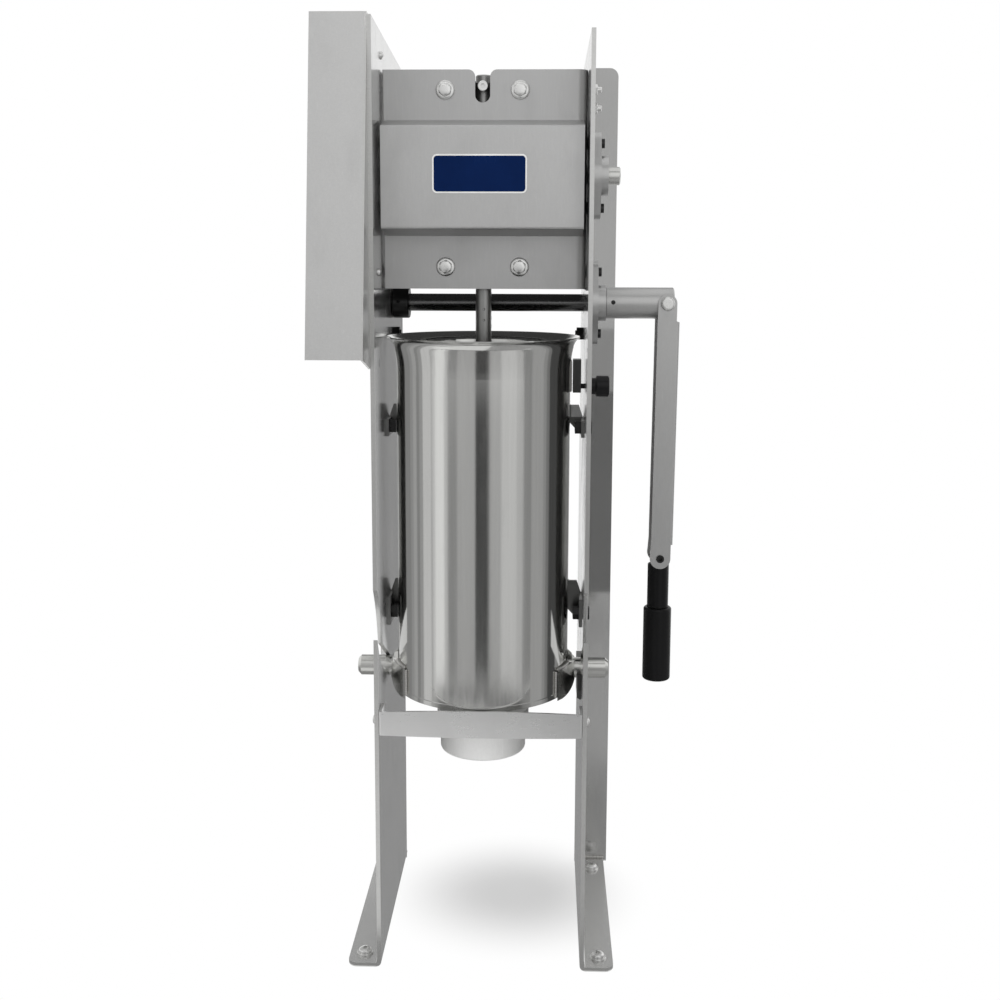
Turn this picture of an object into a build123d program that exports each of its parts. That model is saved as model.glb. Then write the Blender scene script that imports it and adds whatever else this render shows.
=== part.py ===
# Upright two-speed churro maker: rack-driven piston in a lift-out tank, all sizes in mm.
# Lengths below are taken from the tank axis at bench level, +Z up, the operator stands at -Y.
import os
from math import atan2, cos, pi, radians, sin, sqrt, tan

from build123d import *

os.makedirs("parts", exist_ok=True)

# The saved pieces have their origin on the bench in the middle of the whole machine
to_middle = Location((-24.0, -6.5, 0))

# Frame
sheet = 4.0  # side plate thickness
left_in = -95.0  # inner face of the left plate
right_in = 98.5  # inner face of the right plate
left_out = left_in - sheet
right_out = right_in + sheet
plate_front = -88.0
plate_back = 148.0
plate_top = 885.0
left_rise = 12.0  # the left plate is this much higher at its front edge
foot_reach = 29.0  # foot beyond the outer face
wing_reach = 32.5  # back flange beyond the outer face
left_wing_reach = 24.0
left_wing_high = 545.0  # the left wing stops below the gear case
bend_in = 2.0  # inner radius of a folded corner
bend_out = bend_in + sheet
foot_bolts_y = (-69.0, 117.0)
band_bolt_y = 5.0  # bolts of the two rear bands
band_bolts_z = (521.8, 333.5)
strap_bolt = (-76.0, 248.5)  # Y and Z of the front strap's screws
panel_screw_y = -6.0
panel_screws_z = (843.0, 826.0)
case_screw = (-23.0, 872.0)

# Tank
tank_r = 85.0
tank_wall = 1.5
tank_low = 260.5
tank_high = 611.4
flare_z = 576.0  # where the straight wall starts to open
rim_r = 94.4
floor_t = 3.0
outlet_r = 22.0
pin_z = 278.0
pin_end = 126.0
saddle_face = 92.4
pin_r = 10.2
pin_fit = 0.2

# Lock between the right plate and the tank
lock_z = 563.0

# Drive
module = 2.5
pitch = pi * module
tooth_depth = 1.2 * module  # pitch line to root
gear_teeth = 85
pinion_teeth = 17
rack_pinion_teeth = 21
shaft_r = 8.75
shaft_end_left = -139.0
bearing_lift = 31.0  # bearing bolts above and below the shaft
seat = 0.03  # clearance of what is fixed on a shaft
fit = 0.08  # running clearance on the radius
rod_r = 7.6  # round front of the rack bar, and half its width
rack_line = 4.25  # rack pitch line behind the bar axis
upper_y = rack_line + module * rack_pinion_teeth / 2
lower_y = 60.0
lower_z = 642.0
centres = module * (gear_teeth + pinion_teeth) / 2
upper_z = lower_z + sqrt(centres**2 - (lower_y - upper_y) ** 2)
rod_low = 279.0
rod_high = 857.0
rack_back = rack_line + module  # flat back of the bar, and the tips of its teeth
rack_low = 402.0  # toothed length of the bar
rack_high = 802.0

# Panel, guides and hat cover
panel_face = -22.0
panel_t = 3.0
panel_low = 657.3
panel_high = 859.5
panel_left = -93.6
panel_right = 98.1
notch_r = 7.05
notch_low = 829.5
bolt_x = 35.0
stop_z = 845.0  # stop screw in the rack bar, standing in the panel notch
guide_high_z = 841.0
guide_low_z = 678.0
hat_face = -60.0

# Gear case on the left
case_left = -150.0
case_front = -135.0  # foot of the leaning front
case_back = 143.5
case_low = 597.0
case_wall = 1.5
case_plate_t = 2.0

# Crank
hub_r = 15.7
hub_end = 189.5
arm_half = 18.4
arm_wall = 2.5
arm_x = 182.3
arm_length = 261.0
arm_lean = 0.5
grip_x = arm_x - arm_length * sin(radians(arm_lean))
grip_z = lower_z - arm_length * cos(radians(arm_lean))


def save(node, name):
    piece = node.part.moved(to_middle)
    piece.label = name
    export_step(piece, f"parts/{name}.step")


def bar_x(y, z, radius, x0, x1, mode=Mode.ADD):
    # Round bar, or hole, along X.
    with BuildSketch(Plane.YZ.offset(x0)) as disc:
        with Locations((y, z)):
            Circle(radius)
    extrude(disc.sketch, amount=x1 - x0, mode=mode)


def bar_y(x, z, radius, y0, y1, mode=Mode.ADD):
    # Round bar, or hole, along Y.
    with BuildSketch(Plane.XZ.offset(-y0)) as disc:
        with Locations((x, z)):
            Circle(radius)
    extrude(disc.sketch, amount=y0 - y1, mode=mode)


def bar_z(x, y, radius, z0, z1, mode=Mode.ADD):
    # Round bar, or hole, along Z.
    with BuildSketch(Plane.XY.offset(z0)) as disc:
        with Locations((x, y)):
            Circle(radius)
    extrude(disc.sketch, amount=z1 - z0, mode=mode)


def hex_x(y, z, across, x0, x1):
    # Hexagon along X for heads and nuts.
    with BuildSketch(Plane.YZ.offset(x0)) as hexagon:
        with Locations((y, z)):
            RegularPolygon(across / 2, 6, major_radius=False)
    extrude(hexagon.sketch, amount=x1 - x0)


def block(x0, x1, y0, y1, z0, z1, mode=Mode.ADD):
    # Box between two corners.
    with Locations(((x0 + x1) / 2, (y0 + y1) / 2, (z0 + z1) / 2)):
        Box(x1 - x0, y1 - y0, z1 - z0, mode=mode)


def gear_blank(y, z, teeth, phase, x0, x1):
    # Straight-flanked teeth around (y, z); one tooth points along the phase angle.
    outer = module * teeth / 2 + module
    root = module * teeth / 2 - tooth_depth
    tip_half = 0.12 * pitch / outer
    root_half = 0.28 * pitch / root
    corners = []
    for tooth in range(teeth):
        middle = phase + 2 * pi * tooth / teeth
        for radius, turn in (
            (root, -root_half),
            (outer, -tip_half),
            (outer, tip_half),
            (root, root_half),
        ):
            angle = middle + turn
            corners.append((y + radius * cos(angle), z + radius * sin(angle)))
    with BuildSketch(Plane.YZ.offset(x0)) as teeth_ring:
        with BuildLine():
            Polyline(*corners, close=True)
        make_face()
    extrude(teeth_ring.sketch, amount=x1 - x0)


# Hooked slot that lets a trunnion pin drop in from the front edge
slot_r = pin_r + pin_fit
slot_angle = radians(26.8)
slot_bend = 56.0  # where the straight slot turns up into its mouth, ahead of the seat


def slot_cut(x0, x1):
    # Pin seat at the back, mouth flaring up to the plate's front edge.
    across = (slot_r * sin(slot_angle), slot_r * cos(slot_angle))
    seat_low = (-across[0], pin_z - across[1])
    seat_high = (across[0], pin_z + across[1])
    seat_back = (across[1], pin_z - across[0])
    bend_low = (-slot_bend, seat_low[1] + (slot_bend - across[0]) * tan(slot_angle))
    bend_high = (-slot_bend, seat_high[1] + (slot_bend + across[0]) * tan(slot_angle))
    lip = (plate_front - 3, 338.0)
    mouth_top = (plate_front - 3, 382.0)
    with BuildSketch(Plane.YZ.offset(x0)) as slot:
        with BuildLine():
            Line(seat_low, bend_low)
            ThreePointArc(bend_low, (-76.0, 311.5), lip)
            Line(lip, mouth_top)
            ThreePointArc(mouth_top, (-67.0, 348.0), bend_high)
            Line(bend_high, seat_high)
            ThreePointArc(seat_high, seat_back, seat_low)
        make_face()
    extrude(slot.sketch, amount=x1 - x0, mode=Mode.SUBTRACT)


def frame_holes(x0, x1, shaft_hole):
    # Holes for the two shafts and their bearing bolts.
    for y, z in ((upper_y, upper_z), (lower_y, lower_z)):
        bar_x(y, z, shaft_hole, x0, x1, Mode.SUBTRACT)
        for lift in (-bearing_lift, bearing_lift):
            bar_x(y, z + lift, 3.3, x0, x1, Mode.SUBTRACT)


def folded_edge(plane, inner, outward, reach, length):
    # Bend and flange of a side plate: X across, the second direction in from the outer face.
    outer = inner + outward * sheet
    middle = inner + outward * bend_out
    end = outer + outward * reach
    slant = cos(pi / 4)
    with BuildSketch(plane) as section:
        with BuildLine():
            ThreePointArc(
                (inner, bend_out),
                (middle - outward * bend_out * slant, bend_out - bend_out * slant),
                (middle, 0),
            )
            Polyline((middle, 0), (end, 0), (end, sheet), (middle, sheet))
            ThreePointArc(
                (middle, sheet),
                (middle - outward * bend_in * slant, bend_out - bend_in * slant),
                (outer, bend_out),
            )
            Line((outer, bend_out), (inner, bend_out))
        make_face()
    extrude(section.sketch, amount=length)
    return end


def side_plate(inner, outward):
    # Folded sheet: upright web, outward foot at the bench, outward wing at the back.
    outer = inner + outward * sheet
    low_x, high_x = min(inner, outer), max(inner, outer)
    web_back = plate_back - bend_out
    rise = left_rise if outward < 0 else 0.0
    with BuildSketch(Plane.YZ.offset(low_x)) as web:
        with BuildLine():
            Polyline(
                (plate_front, bend_out),
                (web_back, bend_out),
                (web_back, plate_top),
                (plate_front, plate_top + rise),
                close=True,
            )
        make_face()
    extrude(web.sketch, amount=sheet)
    foot_plane = Plane.XZ.offset(-plate_back)
    foot_end = folded_edge(foot_plane, inner, outward, foot_reach, plate_back - plate_front)
    wing_high = left_wing_high if outward < 0 else plate_top
    wing_plane = Plane(origin=(0, plate_back, 0), x_dir=(1, 0, 0), z_dir=(0, 0, -1))
    wing_width = left_wing_reach if outward < 0 else wing_reach
    wing_end = folded_edge(wing_plane, inner, outward, wing_width, -wing_high)
    foot_corner = edges().filter_by(Axis.Z).filter_by(
        lambda e: (e.center() - Vector(foot_end, plate_front, sheet / 2)).length < 0.1
    )
    wing_corner = edges().filter_by(Axis.Y).filter_by(
        lambda e: (e.center() - Vector(wing_end, plate_back - sheet / 2, wing_high)).length < 0.1
    )
    fillet(foot_corner + wing_corner, 9)
    foot_bolt_x = outer + outward * foot_reach / 2
    for y in foot_bolts_y:
        bar_z(foot_bolt_x, y, 4.3, -1, sheet + 1, Mode.SUBTRACT)
    slot_cut(low_x - 1, high_x + 1)
    for z in band_bolts_z:
        bar_x(band_bolt_y, z, 4.3, low_x - 1, high_x + 1, Mode.SUBTRACT)
    bar_x(*strap_bolt, 2.8, low_x - 1, high_x + 1, Mode.SUBTRACT)
    for z in panel_screws_z:
        bar_x(panel_screw_y, z, 2.8, low_x - 1, high_x + 1, Mode.SUBTRACT)


with BuildPart() as side_plate_left:
    side_plate(left_in, -1)
    frame_holes(left_out - 1, left_in + 1, 14.05)
    bar_x(*case_screw, 2.2, left_out - 1, left_in + 1, Mode.SUBTRACT)
save(side_plate_left, "side_plate_left")

with BuildPart() as side_plate_right:
    side_plate(right_in, 1)
    frame_holes(right_in - 1, right_out + 1, 11.0)
    bar_x(0, lock_z, 2.7, right_in - 1, right_out + 1, Mode.SUBTRACT)
save(side_plate_right, "side_plate_right")

# Pad inside the right plate that carries the trunnion and keeps the tank to the left
with BuildPart() as pivot_pad:
    with BuildSketch(Plane.YZ.offset(right_in - 4)) as pad:
        with BuildLine():
            Polyline((-26, 287), (-26, 262), (-14, 249), (14, 249), (26, 262), (26, 287), close=True)
        make_face()
    extrude(amount=3.95)
    chamfer(pivot_pad.edges().group_by(Axis.Z)[0].sort_by(Axis.X)[0], 3)
    slot_cut(right_in - 5, right_in + 1)
save(pivot_pad, "pivot_pad")

# Gearbox front panel: folded back at both plates, notched for the stop screw
with BuildPart() as front_panel:
    with BuildSketch(Plane.XY.offset(panel_low)):
        with BuildLine():
            Polyline(
                (panel_left, 8),
                (panel_left, panel_face),
                (panel_right, panel_face),
                (panel_right, 8),
                (panel_right - panel_t, 8),
                (panel_right - panel_t, panel_face + panel_t),
                (panel_left + panel_t, panel_face + panel_t),
                (panel_left + panel_t, 8),
                close=True,
            )
        make_face()
    extrude(amount=panel_high - panel_low)
    front_corners = front_panel.edges().filter_by(Axis.Z).group_by(Axis.Y)[0]
    fillet(front_corners.sort_by(Axis.X)[-1], 9)
    fillet(front_panel.edges().filter_by(Axis.Z).group_by(Axis.Y)[0].sort_by(Axis.X)[0], 1.2)
    with BuildSketch(Plane.XZ.offset(-panel_face + 1)) as notch:
        with Locations((0, notch_low + notch_r)):
            Circle(notch_r)
        with Locations((0, (notch_low + notch_r + panel_high) / 2 + 1)):
            Rectangle(2 * notch_r, panel_high - notch_low - notch_r + 2)
    extrude(amount=-panel_t - 2, mode=Mode.SUBTRACT)
    for x in (-bolt_x, bolt_x):
        for z in (guide_high_z, guide_low_z):
            bar_y(x, z, 4.1, panel_face - 1, panel_face + panel_t + 1, Mode.SUBTRACT)
    for z in panel_screws_z:
        bar_x(panel_screw_y, z, 2.8, panel_left - 1, panel_right + 1, Mode.SUBTRACT)
    mouth = front_panel.edges().filter_by(Axis.Y).filter_by(
        lambda e: abs(abs(e.center().X) - notch_r) < 0.1 and abs(e.center().Z - panel_high) < 0.1
    )
    fillet(mouth, 6.5)
save(front_panel, "front_panel")


def rack_bar(z0, z1, clearance, mode=Mode.ADD):
    # Bar, or the way it runs in: round front, straight sides, flat back.
    back = rack_back + clearance
    with BuildSketch(Plane.XY.offset(z0)) as section:
        Circle(rod_r + clearance)
        with Locations((0, back / 2)):
            Rectangle(2 * (rod_r + clearance), back)
        with Locations((0, back + rod_r)):
            Rectangle(4 * rod_r, 2 * rod_r, mode=Mode.SUBTRACT)
    extrude(section.sketch, amount=z1 - z0, mode=mode)


def guide_shape(z):
    # Block behind the panel with a D-shaped way for the rack bar.
    block(-46, 46, panel_face + panel_t, rack_back + 9, z - 9, z + 9)
    rack_bar(z - 10, z + 10, fit, Mode.SUBTRACT)
    for x in (-bolt_x, bolt_x):
        bar_y(x, z, 4.1, panel_face + panel_t - 1, -4, Mode.SUBTRACT)


with BuildPart() as guide_upper:
    guide_shape(guide_high_z)
    block(-notch_r, notch_r, panel_face, -2.8, guide_high_z - 10, guide_high_z + 10, Mode.SUBTRACT)
save(guide_upper, "guide_upper")

with BuildPart() as guide_lower:
    guide_shape(guide_low_z)
save(guide_lower, "guide_lower")

# Folded hat cover on the panel
with BuildPart() as hat_cover:
    with BuildSketch(Plane.YZ.offset(-91.5)):
        with BuildLine():
            Polyline(
                (panel_face, 813.5),
                (hat_face, 805.2),
                (hat_face, 712.4),
                (panel_face, 706.8),
                (panel_face, 708.3),
                (hat_face + 1.5, 713.8),
                (hat_face + 1.5, 803.8),
                (panel_face, 812.0),
                close=True,
            )
        make_face()
    extrude(amount=186)
    fillet(hat_cover.edges().filter_by(Axis.X).group_by(Axis.Y)[0], 2.5)
save(hat_cover, "hat_cover")

# Four flanged hex bolts hold the guide blocks to the panel
flange_t = 2.2
with BuildPart() as panel_bolts:
    for x in (-bolt_x, bolt_x):
        for z in (guide_high_z, guide_low_z):
            bar_y(x, z, 8.9, panel_face - flange_t, panel_face)
            bar_y(x, z, 3.9, panel_face - 0.1, -6)
            with BuildSketch(Plane.XZ.offset(-panel_face + flange_t)):
                with Locations((x, z)):
                    RegularPolygon(5.6, 6, rotation=20, major_radius=False)
            extrude(amount=4.6)
    heads = panel_bolts.faces().filter_by(Axis.Y).group_by(Axis.Y)[0]
    chamfer(heads.edges(), 0.9)
    rings = panel_bolts.edges().filter_by(lambda e: e.geom_type == GeomType.CIRCLE and e.radius > 8.5)
    chamfer(rings.group_by(Axis.Y)[0], 0.9)
save(panel_bolts, "panel_bolts")

# Rack bar: round in front, teeth cut in its flat back
gap_phase = (upper_z - rack_low) % pitch
with BuildPart() as rack_rod:
    rack_bar(rod_low, rod_high, 0)
    chamfer(rack_rod.faces().sort_by(Axis.Z)[-1].edges(), 1)
    with BuildSketch(Plane.YZ.offset(-rod_r - 1)):
        for gap in range(int((rack_high - rack_low) / pitch)):
            z = rack_low + gap_phase + gap * pitch
            tip = rack_back + 0.5
            root = rack_line - tooth_depth
            with BuildLine():
                Polyline(
                    (tip, z - 0.385 * pitch),
                    (tip, z + 0.385 * pitch),
                    (root, z + 0.21 * pitch),
                    (root, z - 0.21 * pitch),
                    close=True,
                )
            make_face()
    extrude(amount=2 * rod_r + 2, mode=Mode.SUBTRACT)
    bar_y(0, stop_z, 3.0, -rod_r - 1, -1.5, Mode.SUBTRACT)
save(rack_rod, "rack_rod")

with BuildPart() as stop_screw:
    bar_y(0, stop_z, 4.9, -20.5, -rod_r - 0.1)
    bar_y(0, stop_z, 2.9, -rod_r - 0.2, -2)
    fillet(stop_screw.faces().sort_by(Axis.Y)[0].edges(), 1)
    with BuildSketch(Plane.XZ.offset(20.5)):
        with Locations((0, stop_z)):
            RegularPolygon(2.4, 6)
    extrude(amount=-3, mode=Mode.SUBTRACT)
save(stop_screw, "stop_screw")

# Piston with its seal and clamping nut
bore_r = tank_r - tank_wall
with BuildPart() as piston:
    bar_z(0, 0, bore_r - 1.5, rod_low, rod_low + 18)
    rack_bar(rod_low - 1, rod_low + 19, 0, Mode.SUBTRACT)
    with BuildSketch(Plane.XY.offset(rod_low + 6)):
        Circle(bore_r)
        Circle(bore_r - 7, mode=Mode.SUBTRACT)
    extrude(amount=7, mode=Mode.SUBTRACT)
save(piston, "piston")

with BuildPart() as piston_seal:
    with BuildSketch(Plane.XY.offset(rod_low + 6.2)):
        Circle(bore_r - 0.3)
        Circle(bore_r - 6.9, mode=Mode.SUBTRACT)
    extrude(amount=6.6)
    fillet(piston_seal.edges().filter_by(GeomType.CIRCLE).sort_by(SortBy.RADIUS)[-2:], 1.5)
save(piston_seal, "piston_seal")

# Upper shaft: rack pinion in the middle, large gear in the case, a relief groove at the
# root of the free stub on the right
with BuildPart() as upper_shaft:
    bar_x(upper_y, upper_z, shaft_r, shaft_end_left, 132)
    chamfer(upper_shaft.edges().filter_by(GeomType.CIRCLE), 1)
    with BuildSketch(Plane.YZ.offset(120.2)):
        with Locations((upper_y, upper_z)):
            Circle(shaft_r + 1)
            Circle(shaft_r - 0.6, mode=Mode.SUBTRACT)
    extrude(amount=1.2, mode=Mode.SUBTRACT)
save(upper_shaft, "upper_shaft")

with BuildPart() as rack_pinion:
    gear_blank(upper_y, upper_z, rack_pinion_teeth, pi, -12, 12)
    bar_x(upper_y, upper_z, 17, -20, 20)
    bar_x(upper_y, upper_z, shaft_r + seat, -21, 21, Mode.SUBTRACT)
save(rack_pinion, "rack_pinion")

to_pinion = atan2(lower_z - upper_z, lower_y - upper_y)
with BuildPart() as drive_gear:
    gear_blank(upper_y, upper_z, gear_teeth, to_pinion, -128, -112)
    for x0, x1 in ((-129, -123), (-117, -111)):
        with BuildSketch(Plane.YZ.offset(x0)):
            with Locations((upper_y, upper_z)):
                Circle(92)
                Circle(24, mode=Mode.SUBTRACT)
        extrude(amount=x1 - x0, mode=Mode.SUBTRACT)
    bar_x(upper_y, upper_z, 22, -132, -109)
    bar_x(upper_y, upper_z, shaft_r + seat, -133, -108, Mode.SUBTRACT)
    with BuildSketch(Plane.YZ.offset(-130)):
        with Locations((upper_y, upper_z)):
            with PolarLocations(58, 5):
                Circle(19)
    extrude(amount=20, mode=Mode.SUBTRACT)
save(drive_gear, "drive_gear")

# Lower shaft with the small pinion and a collar against the left plate
with BuildPart() as lower_shaft:
    bar_x(lower_y, lower_z, shaft_r, shaft_end_left, 168)
save(lower_shaft, "lower_shaft")

with BuildPart() as case_pinion:
    gear_blank(lower_y, lower_z, pinion_teeth, to_pinion + pi + pi / pinion_teeth, -130, -110)
    bar_x(lower_y, lower_z, shaft_r + seat, -131, -109, Mode.SUBTRACT)
save(case_pinion, "case_pinion")

with BuildPart() as shaft_collar:
    bar_x(lower_y, lower_z, 16, left_in + 0.2, -78.2)
    bar_x(lower_y, lower_z, shaft_r + seat, left_in - 1, -77, Mode.SUBTRACT)
    bar_y(-88.5, lower_z + 1, 1.8, lower_y - 17, lower_y - 11, Mode.SUBTRACT)
    chamfer(shaft_collar.edges().filter_by(GeomType.CIRCLE).filter_by(lambda e: e.radius > 15), 0.8)
save(shaft_collar, "shaft_collar")


def bearing(y, z, x0, flange_t, boss_r, boss_t):
    # Two-bolt flange with a round boss, bored for the shaft.
    with BuildSketch(Plane.YZ.offset(x0)) as flange:
        with Locations((y, z)):
            Circle(25)
        with Locations((y, z + bearing_lift), (y, z - bearing_lift)):
            Circle(11)
        make_hull()
    extrude(flange.sketch, amount=flange_t)
    if boss_t:
        bar_x(y, z, boss_r, x0, x0 + flange_t + boss_t)
    bar_x(y, z, shaft_r + fit, x0 - 1, x0 + flange_t + boss_t + 1, Mode.SUBTRACT)
    for lift in (-bearing_lift, bearing_lift):
        bar_x(y, z + lift, 3.3, x0 - 1, x0 + flange_t + 1, Mode.SUBTRACT)


with BuildPart() as bearing_upper_right:
    bearing(upper_y, upper_z, right_out, 10.5, 19.5, 7)
save(bearing_upper_right, "bearing_upper_right")

with BuildPart() as bearing_lower_right:
    bearing(lower_y, lower_z, right_out, 10.5, 18.3, 8)
save(bearing_lower_right, "bearing_lower_right")

case_in = left_out - case_plate_t
with BuildPart() as bearing_upper_left:
    bearing(upper_y, upper_z, case_in - 6, 6, 14, 0)
    bar_x(upper_y, upper_z, 14, case_in, left_in)
    bar_x(upper_y, upper_z, shaft_r + fit, case_in - 1, left_in + 1, Mode.SUBTRACT)
save(bearing_upper_left, "bearing_upper_left")

with BuildPart() as bearing_lower_left:
    bearing(lower_y, lower_z, case_in - 6, 6, 14, 0)
    bar_x(lower_y, lower_z, 14, case_in, left_in)
    bar_x(lower_y, lower_z, shaft_r + fit, case_in - 1, left_in + 1, Mode.SUBTRACT)
save(bearing_lower_left, "bearing_lower_left")

# Bearing bolts: heads outside, hex nuts inside the plates
with BuildPart() as bearing_bolts_right:
    for y, z in ((upper_y, upper_z), (lower_y, lower_z)):
        for lift in (-bearing_lift, bearing_lift):
            bar_x(y, z + lift, 3.1, right_in - 8, right_out + 10.6)
            hex_x(y, z + lift, 12, right_in - 6.5, right_in)
            bar_x(y, z + lift, 4.6, right_out + 10.5, right_out + 14)
save(bearing_bolts_right, "bearing_bolts_right")

with BuildPart() as bearing_bolts_left:
    for y, z in ((upper_y, upper_z), (lower_y, lower_z)):
        for lift in (-bearing_lift, bearing_lift):
            bar_x(y, z + lift, 3.1, case_in - 6.1, left_in + 8)
            hex_x(y, z + lift, 12, left_in, left_in + 6.5)
            bar_x(y, z + lift, 4.6, case_in - 8.5, case_in - 6)
save(bearing_bolts_left, "bearing_bolts_left")


def case_outline(front_foot, grow):
    # Side view of the gear case, its front leaning; grow < 0 steps inside.
    with BuildLine() as outline:
        Polyline(
            (case_front, case_low),
            (-85, 900),
            (-14, 897),
            (74, 880),
            (case_back, 825),
            (case_back, front_foot[1]),
            front_foot,
            close=True,
        )
    make_face(outline.edges())
    if grow:
        offset(amount=grow, kind=Kind.INTERSECTION, mode=Mode.REPLACE)


with BuildPart() as case_plate:
    with BuildSketch(Plane.YZ.offset(case_in)):
        case_outline((-84, 585), 0)
    extrude(amount=case_plate_t)
    frame_holes(case_in - 1, left_out + 1, 14.05)
save(case_plate, "case_plate")

with BuildPart() as gear_cover:
    with BuildSketch(Plane.YZ.offset(case_left)):
        case_outline((-84, case_low), 0)
    extrude(amount=case_in - case_left)
    with BuildSketch(Plane.YZ.offset(case_left + case_wall)):
        case_outline((-84, case_low), -case_wall)
    extrude(amount=case_in - case_left, mode=Mode.SUBTRACT)
save(gear_cover, "gear_cover")

# Crank: tube hub, folded channel arm open towards the machine, cross bolt
with BuildPart() as crank_hub:
    bar_x(lower_y, lower_z, hub_r, right_out + 19, hub_end)
    bar_x(lower_y, lower_z, shaft_r + seat, right_out + 18, 168.5, Mode.SUBTRACT)
    bar_y(arm_x, lower_z, 4.1, lower_y - 20, lower_y + 20, Mode.SUBTRACT)
    bar_y(128.0, lower_z + 1, 2.2, lower_y - 17, lower_y - 10, Mode.SUBTRACT)
    chamfer(crank_hub.faces().sort_by(Axis.X)[-1].edges(), 1)
save(crank_hub, "crank_hub")

arm_plane = Plane(
    origin=(arm_x, lower_y - arm_half, lower_z),
    x_dir=(cos(radians(arm_lean)), 0, -sin(radians(arm_lean))),
    z_dir=(0, -1, 0),
)
web_high = -18.5
web_low = -246.0
web_x = 12.4
wall_x = 9.4
eye_r = 10.5
with BuildPart() as crank_arm:
    with BuildSketch(arm_plane):
        with BuildLine():
            ThreePointArc((-wall_x, 0), (0, wall_x), (wall_x, 0))
            Line((wall_x, 0), (wall_x, web_high))
            Line((wall_x, web_high), (web_x, web_high))
            Line((web_x, web_high), (web_x, web_low))
            Line((web_x, web_low), (eye_r, web_low))
            Line((eye_r, web_low), (eye_r, -arm_length))
            ThreePointArc((eye_r, -arm_length), (0, -arm_length - eye_r), (-eye_r, -arm_length))
            Line((-eye_r, -arm_length), (-wall_x, web_low))
            Line((-wall_x, web_low), (-wall_x, 0))
        make_face()
        Circle(4.1, mode=Mode.SUBTRACT)
        with Locations((0, -arm_length)):
            Circle(4.1, mode=Mode.SUBTRACT)
    extrude(amount=-2 * arm_half)
    with BuildSketch(arm_plane.offset(-arm_wall)):
        with BuildLine():
            Polyline(
                (-20, 20),
                (20, 20),
                (20, web_high),
                (web_x - arm_wall, web_high),
                (web_x - arm_wall, web_low),
                (20, web_low),
                (20, -arm_length - 20),
                (-20, -arm_length - 20),
                close=True,
            )
        make_face()
    extrude(amount=-2 * (arm_half - arm_wall), mode=Mode.SUBTRACT)
    long_edges = crank_arm.edges().filter_by(lambda e: e.length > 200).sort_by(Axis.X)
    outer_edges = [e for e in long_edges if abs(abs(e.center().Y - lower_y) - arm_half) < 0.1]
    fillet(outer_edges[-2:], 2)
save(crank_arm, "crank_arm")

with BuildPart() as crank_bolt:
    bar_y(arm_x, lower_z, 4.0, lower_y - arm_half - 0.1, lower_y + arm_half + 4)
    bar_y(arm_x, lower_z, 7.0, lower_y - arm_half - 4, lower_y - arm_half)
    fillet(crank_bolt.faces().sort_by(Axis.Y)[0].edges(), 2.5)
    with BuildSketch(Plane.XZ.offset(-lower_y - arm_half)):
        with Locations((arm_x, lower_z)):
            RegularPolygon(6.5, 6, major_radius=False)
    extrude(amount=-5)
save(crank_bolt, "crank_bolt")

# Folding grip: eye between the arm walls, collar, then a sleeve that spins on the stem
grip_in = arm_half - arm_wall - 0.25
with BuildPart() as grip_eye:
    bar_y(grip_x, grip_z, 8.2, lower_y - grip_in, lower_y + grip_in)
    bar_z(grip_x, lower_y, 6.0, 250, grip_z - 5)
    bar_y(grip_x, grip_z, 4.08, lower_y - 20, lower_y + 20, Mode.SUBTRACT)
save(grip_eye, "grip_eye")

with BuildPart() as grip_pin:
    bar_y(grip_x, grip_z, 4.0, lower_y - arm_half - 1.2, lower_y + arm_half + 1.2)
    with BuildSketch(Plane.XZ.offset(-lower_y + arm_half + 1.2)):
        with Locations((grip_x, grip_z)):
            RegularPolygon(2.4, 6)
    extrude(amount=-3, mode=Mode.SUBTRACT)
save(grip_pin, "grip_pin")

with BuildPart() as grip_collar:
    bar_z(grip_x, lower_y, 11.0, 326.4, grip_z - 8.8)
    bar_z(grip_x, lower_y, 6.05, 320, grip_z, Mode.SUBTRACT)
    fillet(grip_collar.faces().sort_by(Axis.Z)[-1].edges().filter_by(lambda e: e.radius > 10), 1)
save(grip_collar, "grip_collar")

with BuildPart() as grip_sleeve:
    bar_z(grip_x, lower_y, 14.5, 248, 326)
    bar_z(grip_x, lower_y, 6.08, 240, 330, Mode.SUBTRACT)
    bar_z(grip_x, lower_y, 9.5, 247, 250.5, Mode.SUBTRACT)
    fillet(grip_sleeve.edges().filter_by(lambda e: e.geom_type == GeomType.CIRCLE and e.radius > 14), 2.5)
save(grip_sleeve, "grip_sleeve")

with BuildPart() as grip_cap:
    bar_z(grip_x, lower_y, 9.5, 247, 249.8)
save(grip_cap, "grip_cap")

# Tank: straight wall, soft flare, turned rim, bead around the floor
with BuildPart() as tank:
    with BuildSketch(Plane.XZ):
        with BuildLine():
            Line((outlet_r, tank_low), (tank_r + 0.5, tank_low))
            Line((tank_r + 0.5, tank_low), (tank_r + 0.5, tank_low + 4.5))
            Line((tank_r + 0.5, tank_low + 4.5), (tank_r, tank_low + 5))
            Line((tank_r, tank_low + 5), (tank_r, flare_z))
            ThreePointArc((tank_r, flare_z), (85.7, 589), (87.8, 601))
            ThreePointArc((87.8, 601), (90.1, 606.7), (rim_r, tank_high - 1))
            Line((rim_r, tank_high - 1), (rim_r - 0.6, tank_high))
            ThreePointArc((rim_r - 0.6, tank_high), (88.8, 607.7), (86.3, 601.5))
            ThreePointArc((86.3, 601.5), (84.2, 589), (bore_r, flare_z))
            Line((bore_r, flare_z), (bore_r, tank_low + floor_t))
            Line((bore_r, tank_low + floor_t), (outlet_r, tank_low + floor_t))
            Line((outlet_r, tank_low + floor_t), (outlet_r, tank_low))
        make_face()
    revolve(axis=Axis.Z)
save(tank, "tank")


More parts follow.
